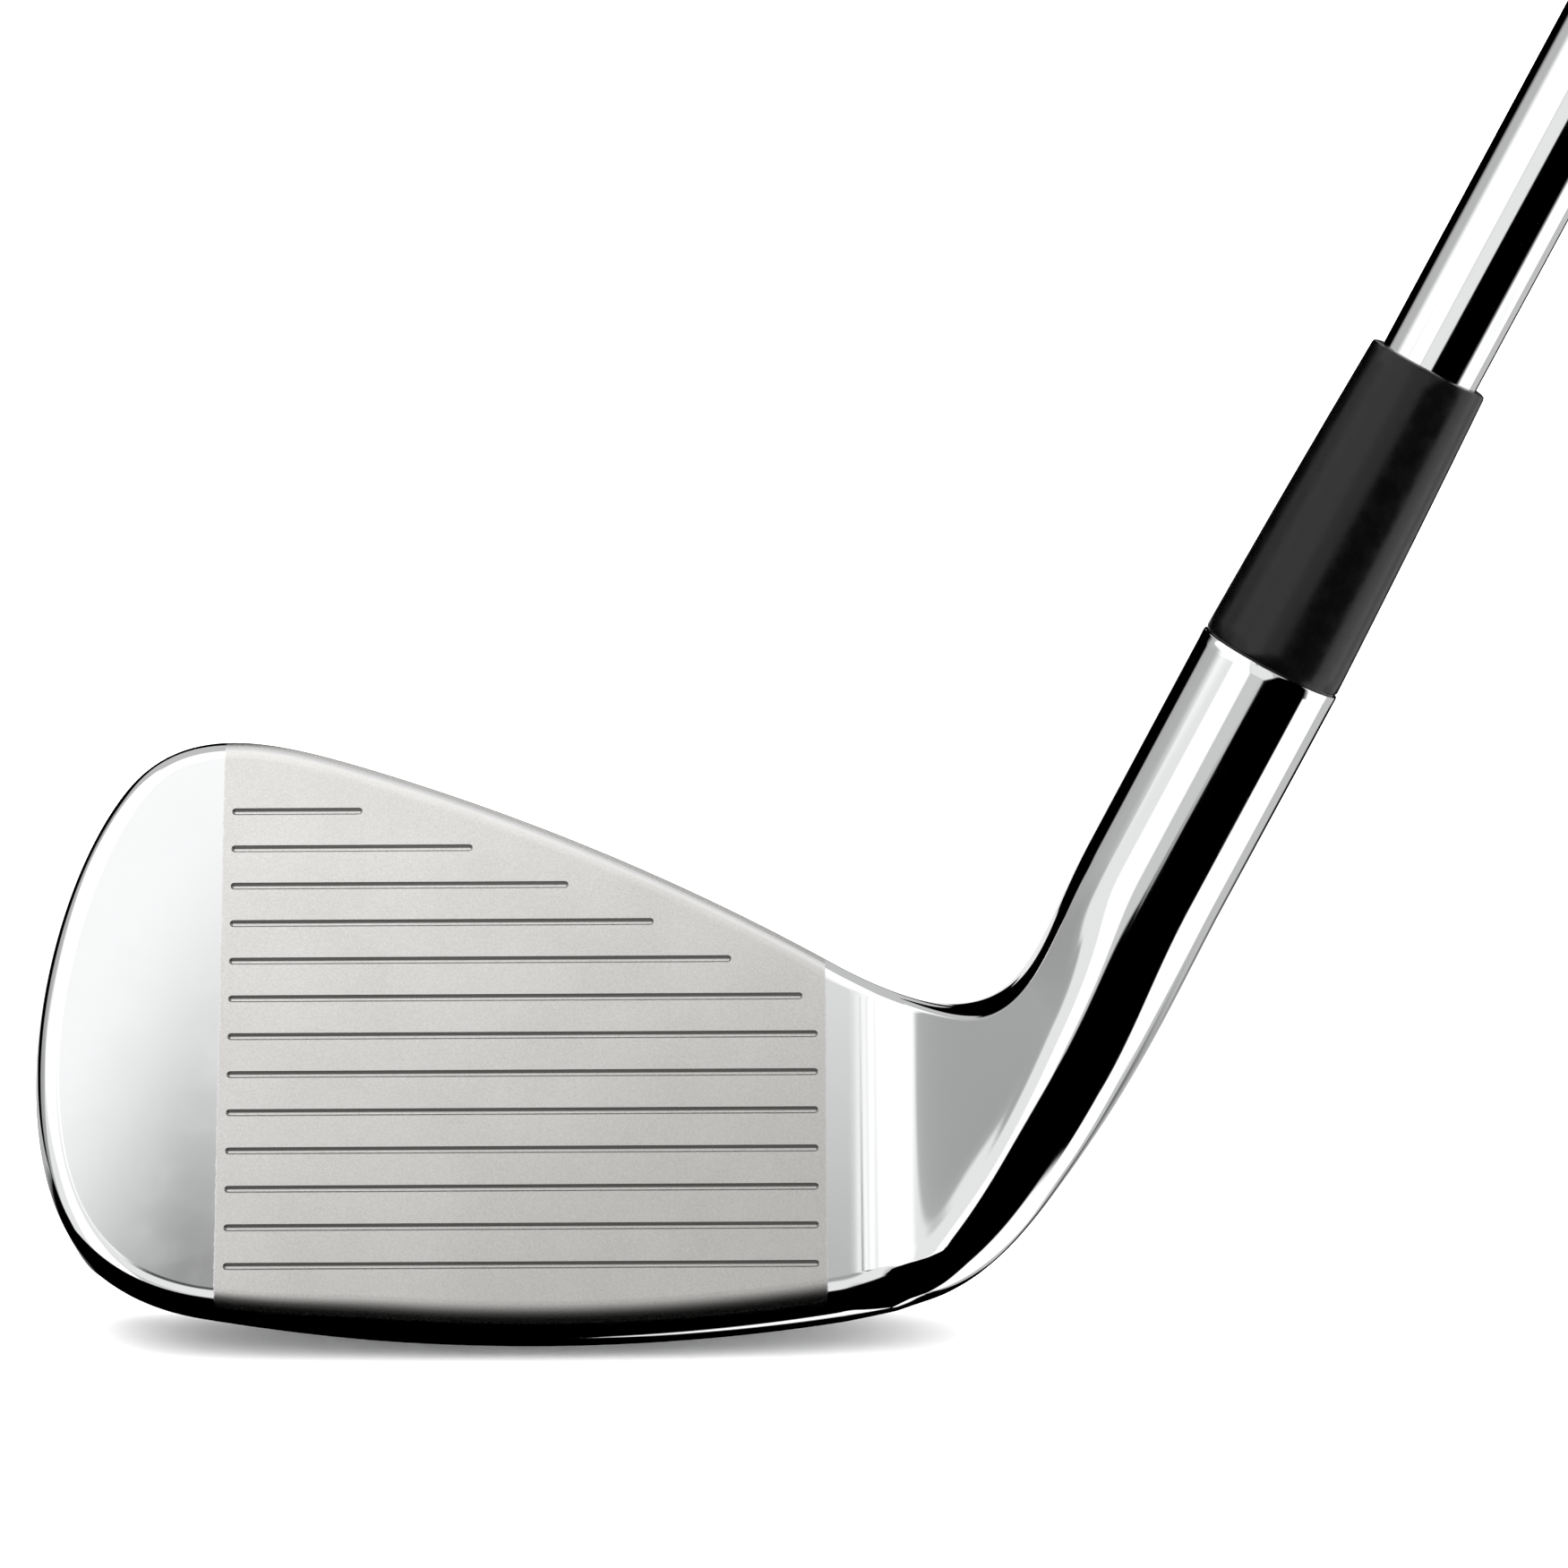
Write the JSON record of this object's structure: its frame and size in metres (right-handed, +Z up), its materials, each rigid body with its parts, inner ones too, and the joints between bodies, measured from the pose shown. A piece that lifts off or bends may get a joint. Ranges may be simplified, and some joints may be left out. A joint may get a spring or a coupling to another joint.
{
  "type": "golf club iron",
  "caption": "Right-handed chrome golf iron: hollow head with a bead-blasted scored face, black ferrule, stepped steel shaft and black rubber grip.",
  "frame": {"origin": "where the shaft's centre line meets the ground, with the club soled at address", "axes": "+Z up from the ground, +X from the toe towards the heel and the golfer's hands, -Y the way the face looks (the target side); the shaft's centre line lies in the XZ plane"},
  "size_m": [0.5292, 0.0416, 0.8368],
  "materials": {
    "head_chrome": "mirror-polished chrome plate, bead-blasted across the topline band and the leading edge",
    "face_steel": "bead-blasted hitting area, mirror-polished toe end",
    "tungsten": "sintered, dark grey",
    "fill": "foamed, matt",
    "screw_steel": "plated, satin",
    "badge": "brushed, clear anodised",
    "damper": "matt black",
    "tape": "adhesive tape",
    "epoxy": "cured, grey-brown",
    "brass": "turned",
    "ferrule": "turned and wiped, satin black",
    "shaft_chrome": "mirror-plated",
    "label": "clear-coated film, plain bands",
    "grip": "moulded with a fine relief, matt black",
    "grip_cap": "moulded, matt black"
  },
  "bodies": {
    "root": {"head_body": "head_chrome", "face_plate": "face_steel", "toe_weight": "tungsten", "heel_weight": "tungsten", "urethane_fill": "fill", "port_screw": "screw_steel", "badge_plate": "badge", "badge_damper": "damper", "badge_tape": "tape", "hosel_epoxy": "epoxy", "tip_weight": "brass", "ferrule": "ferrule", "shaft": "shaft_chrome", "shaft_label": "label", "grip_tape": "tape", "grip": "grip", "grip_cap": "grip_cap"}
  },
  "joints": []
}
